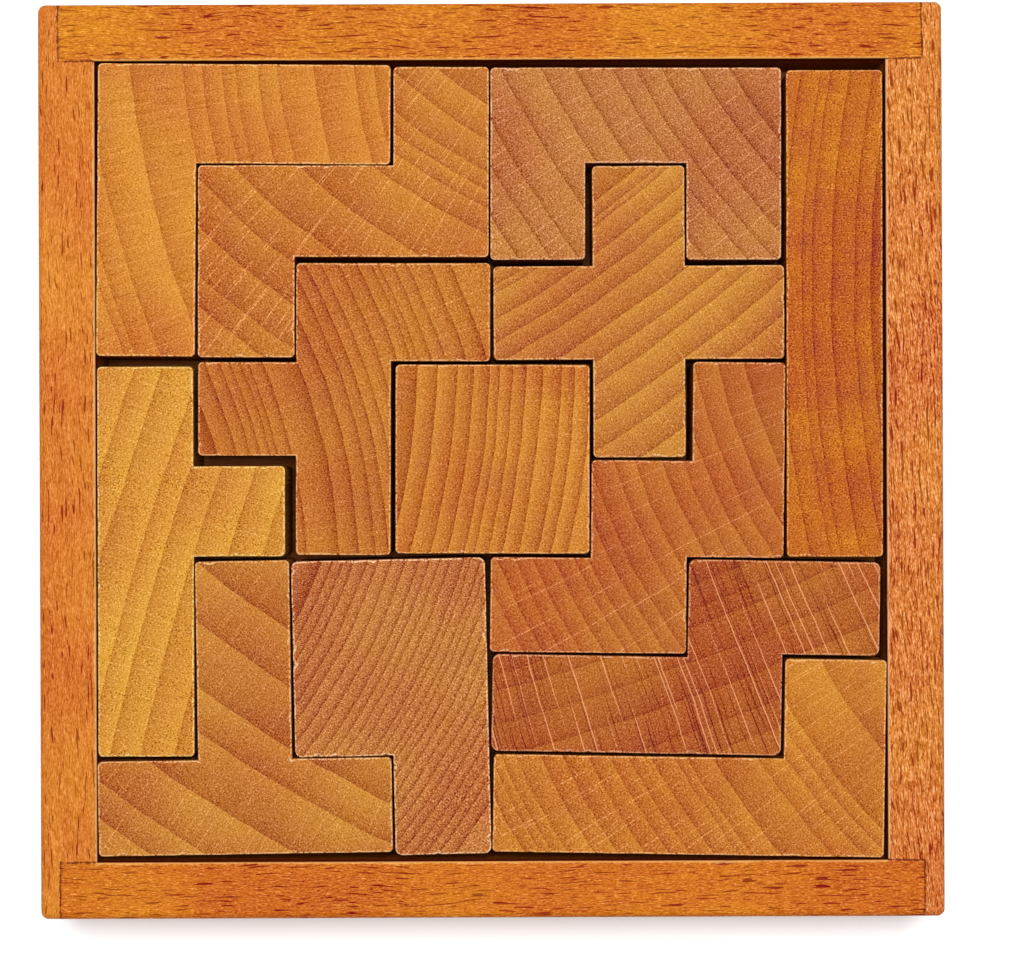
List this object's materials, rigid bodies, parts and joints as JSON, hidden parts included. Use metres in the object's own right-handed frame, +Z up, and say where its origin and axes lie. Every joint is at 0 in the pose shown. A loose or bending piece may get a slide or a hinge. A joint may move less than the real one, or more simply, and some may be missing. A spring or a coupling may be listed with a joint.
{
  "type": "pentomino packing puzzle",
  "caption": "Square wooden tray filled with flat, closely fitting wooden blocks, each one cell thick, that lift out and pack back in a grid.",
  "frame": {"origin": "centre of the tray's underside, on the surface that the tray stands on", "axes": "+Z up out of the tray; +X to the right along the front rail; +Y from the front rail to the rear rail"},
  "size_m": [0.1388, 0.1404, 0.0205],
  "materials": {
    "left_rail_beech": "oiled beech, satin, grain along the rail",
    "right_rail_beech": "oiled beech, satin, grain along the rail",
    "rear_rail_beech": "oiled beech, satin, grain along the rail",
    "front_rail_beech": "oiled beech, satin, grain along the rail",
    "base_panel_plywood": "birch plywood, unfinished, matt",
    "v_block_wood": "oiled beech end grain on top, satin, golden ochre",
    "z_block_wood": "oiled beech end grain on top, satin, golden brown",
    "u_block_wood": "oiled beech end grain on top, satin, dull pinkish brown",
    "i_block_wood": "oiled beech end grain on top, satin, orange red-brown",
    "x_block_wood": "oiled beech end grain on top, satin, golden brown",
    "f_block_wood": "oiled beech end grain on top, satin, orange brown",
    "w_block_wood": "oiled beech end grain on top, satin, mottled orange brown",
    "square_block_wood": "oiled beech end grain on top, satin, golden brown",
    "y_block_wood": "oiled beech end grain on top, satin, yellow gold",
    "t_block_wood": "oiled beech end grain on top, satin, golden brown with wide bands",
    "p_block_wood": "oiled beech end grain on top, satin, pinkish brown",
    "n_block_wood": "oiled beech end grain on top, satin, reddish brown",
    "l_block_wood": "oiled beech end grain on top, satin, orange gold"
  },
  "bodies": {
    "tray": {"left_rail": "left_rail_beech", "right_rail": "right_rail_beech", "rear_rail": "rear_rail_beech", "front_rail": "front_rail_beech", "base_panel": "base_panel_plywood"},
    "v_block": {"v_block": "v_block_wood"},
    "z_block": {"z_block": "z_block_wood"},
    "u_block": {"u_block": "u_block_wood"},
    "i_block": {"i_block": "i_block_wood"},
    "x_block": {"x_block": "x_block_wood"},
    "f_block": {"f_block": "f_block_wood"},
    "w_block": {"w_block": "w_block_wood"},
    "square_block": {"square_block": "square_block_wood"},
    "y_block": {"y_block": "y_block_wood"},
    "t_block": {"t_block": "t_block_wood"},
    "p_block": {"p_block": "p_block_wood"},
    "n_block": {"n_block": "n_block_wood"},
    "l_block": {"l_block": "l_block_wood"}
  },
  "joints": [
    {"name": "lift_v_block", "type": "slide", "parent": "tray", "child": "v_block", "axis": [0, 0, 1], "range_m": [0, 0.024]},
    {"name": "lift_z_block", "type": "slide", "parent": "tray", "child": "z_block", "axis": [0, 0, 1], "range_m": [0, 0.024]},
    {"name": "lift_u_block", "type": "slide", "parent": "tray", "child": "u_block", "axis": [0, 0, 1], "range_m": [0, 0.024]},
    {"name": "lift_i_block", "type": "slide", "parent": "tray", "child": "i_block", "axis": [0, 0, 1], "range_m": [0, 0.024]},
    {"name": "lift_x_block", "type": "slide", "parent": "tray", "child": "x_block", "axis": [0, 0, 1], "range_m": [0, 0.024]},
    {"name": "lift_f_block", "type": "slide", "parent": "tray", "child": "f_block", "axis": [0, 0, 1], "range_m": [0, 0.024]},
    {"name": "lift_w_block", "type": "slide", "parent": "tray", "child": "w_block", "axis": [0, 0, 1], "range_m": [0, 0.024]},
    {"name": "lift_square_block", "type": "slide", "parent": "tray", "child": "square_block", "axis": [0, 0, 1], "range_m": [0, 0.024]},
    {"name": "lift_y_block", "type": "slide", "parent": "tray", "child": "y_block", "axis": [0, 0, 1], "range_m": [0, 0.024]},
    {"name": "lift_t_block", "type": "slide", "parent": "tray", "child": "t_block", "axis": [0, 0, 1], "range_m": [0, 0.024]},
    {"name": "lift_p_block", "type": "slide", "parent": "tray", "child": "p_block", "axis": [0, 0, 1], "range_m": [0, 0.024]},
    {"name": "lift_n_block", "type": "slide", "parent": "tray", "child": "n_block", "axis": [0, 0, 1], "range_m": [0, 0.024]},
    {"name": "lift_l_block", "type": "slide", "parent": "tray", "child": "l_block", "axis": [0, 0, 1], "range_m": [0, 0.024]}
  ]
}
